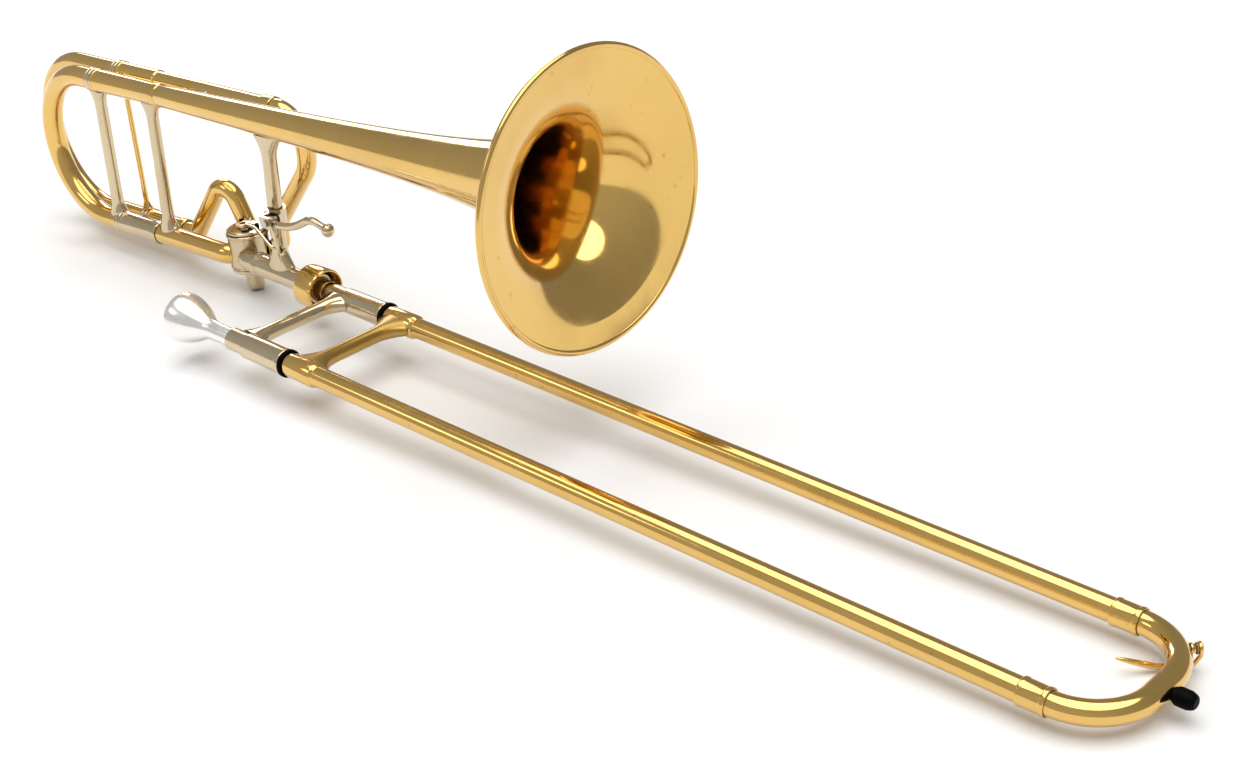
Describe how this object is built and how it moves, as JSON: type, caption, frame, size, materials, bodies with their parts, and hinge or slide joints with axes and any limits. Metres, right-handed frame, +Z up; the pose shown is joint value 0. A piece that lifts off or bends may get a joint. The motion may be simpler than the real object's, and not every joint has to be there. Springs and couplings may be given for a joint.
{
  "type": "trombone",
  "caption": "Tenor trombone with a valve attachment: flared bell and tuning slides above a long hand slide, with a rotary valve, thumb lever, lock nut and water key.",
  "frame": {"origin": "centre of the bounding box in plan, at its lowest point", "axes": "+X along the hand slide towards its crook and the bell's mouth, +Z up towards the bell, the mouthpiece on the -Y side"},
  "size_m": [1.2186, 0.2278, 0.3002],
  "materials": {
    "lacquered_brass": "polished and lacquered",
    "nickel_silver": "polished nickel silver",
    "silver_plate": "silver plated",
    "steel": "bright steel",
    "black_rubber": "matt black",
    "cork": "natural cork"
  },
  "bodies": {
    "bell_section": {"bell": "lacquered_brass", "bell_rim_wire": "steel", "upper_outer_leg": "lacquered_brass", "lower_outer_leg": "nickel_silver", "lower_leg": "lacquered_brass", "receiver_brace": "nickel_silver", "bell_brace": "nickel_silver", "neckpipe": "nickel_silver", "valve_inlet": "nickel_silver", "rotor_casing": "nickel_silver", "bearing_plate": "nickel_silver", "stop_bumper_rest": "black_rubber", "stop_bumper_valve": "black_rubber", "valve_cap": "nickel_silver", "f_front_crook": "lacquered_brass", "f_top_tube": "lacquered_brass", "f_lower_receiver": "lacquered_brass", "f_valve_crook": "lacquered_brass", "f_stay": "nickel_silver", "lever_bracket": "nickel_silver", "lever_hinge_screw": "steel", "lever_spring": "steel"},
    "lock_nut": {"lock_nut": "lacquered_brass"},
    "inner_slide": {"slide_collar": "nickel_silver", "leadpipe": "nickel_silver", "inner_tube_a": "nickel_silver", "inner_tube_b": "nickel_silver", "cork_barrel_a": "nickel_silver", "cork_barrel_b": "nickel_silver", "slide_cork_a": "cork", "slide_cork_b": "cork", "hand_brace": "nickel_silver", "barrel_end_ring": "black_rubber"},
    "slide_lock": {"slide_lock_ring": "black_rubber"},
    "mouthpiece": {"mouthpiece": "silver_plate"},
    "outer_slide": {"outer_tube_a": "lacquered_brass", "outer_tube_b": "lacquered_brass", "outer_brace": "lacquered_brass", "slide_crook": "lacquered_brass", "crook_ferrule_a": "lacquered_brass", "crook_ferrule_b": "lacquered_brass", "rubber_bumper": "black_rubber", "water_key_saddle": "lacquered_brass", "water_key_screw": "steel"},
    "water_key": {"water_key": "lacquered_brass", "water_key_cork": "cork", "water_key_spring": "steel"},
    "main_tuning_slide": {"tuning_bow": "lacquered_brass", "tuning_upper_leg": "nickel_silver", "tuning_lower_leg": "nickel_silver", "tuning_brace": "nickel_silver"},
    "f_tuning_slide": {"f_tuning_bow": "lacquered_brass", "f_tuning_upper_leg": "nickel_silver", "f_tuning_lower_leg": "nickel_silver", "f_tuning_brace": "lacquered_brass"},
    "thumb_lever": {"thumb_lever": "nickel_silver"},
    "link": {"link_rod": "nickel_silver"},
    "rotor": {"rotor": "lacquered_brass", "stop_arm": "nickel_silver", "stop_arm_screw": "steel"}
  },
  "joints": [
    {"name": "slide_angle", "type": "hinge", "parent": "bell_section", "child": "inner_slide", "pos_m": [-0.20359, 0.00608, 0.03591], "axis": [1, 0, 0], "range_deg": [-30, 30]},
    {"name": "hand_slide", "type": "slide", "parent": "inner_slide", "child": "outer_slide", "axis": [1, 0, 0], "range_m": [0, 0.6]},
    {"name": "lock_nut_turn", "type": "hinge", "parent": "bell_section", "child": "lock_nut", "pos_m": [-0.20359, 0.00608, 0.03591], "axis": [1, 0, 0], "continuous": true},
    {"name": "slide_lock_turn", "type": "hinge", "parent": "inner_slide", "child": "slide_lock", "pos_m": [-0.11359, -0.09392, 0.03591], "axis": [1, 0, 0], "range_deg": [0, 30]},
    {"name": "mouthpiece_pull", "type": "slide", "parent": "inner_slide", "child": "mouthpiece", "axis": [-1, 0, 0], "range_m": [0, 0.04]},
    {"name": "water_key_press", "type": "hinge", "parent": "outer_slide", "child": "water_key", "pos_m": [0.57541, -0.00593, 0.02371], "axis": [-0.7071, 0.7071, 0], "range_deg": [0, 20], "stiffness_Nm_per_rad": 0.03, "springref_deg": -28.65},
    {"name": "main_tuning_pull", "type": "slide", "parent": "bell_section", "child": "main_tuning_slide", "axis": [-0.998, 0, -0.0638], "range_m": [0, 0.045]},
    {"name": "f_tuning_pull", "type": "slide", "parent": "bell_section", "child": "f_tuning_slide", "axis": [-0.998, 0, -0.0638], "range_m": [0, 0.045]},
    {"name": "thumb_lever_press", "type": "hinge", "parent": "bell_section", "child": "thumb_lever", "pos_m": [-0.23008, -0.00792, 0.09212], "axis": [0, 1, 0], "range_deg": [0, 24], "stiffness_Nm_per_rad": 0.05, "springref_deg": -34.38},
    {"name": "link_travel", "type": "slide", "parent": "bell_section", "child": "link", "axis": [-0.998, 0, -0.0638], "range_m": [0, 0.0104]},
    {"name": "rotor_turn", "type": "hinge", "parent": "bell_section", "child": "rotor", "pos_m": [-0.30553, 0.02008, 0.03419], "axis": [-0.0638, 0, 0.998], "range_deg": [-90, 0]}
  ],
  "couplings": [
    {"joint": "link_travel", "follows": "thumb_lever_press", "m_per_rad": 0.0248},
    {"joint": "rotor_turn", "follows": "thumb_lever_press", "ratio": -3.75}
  ]
}
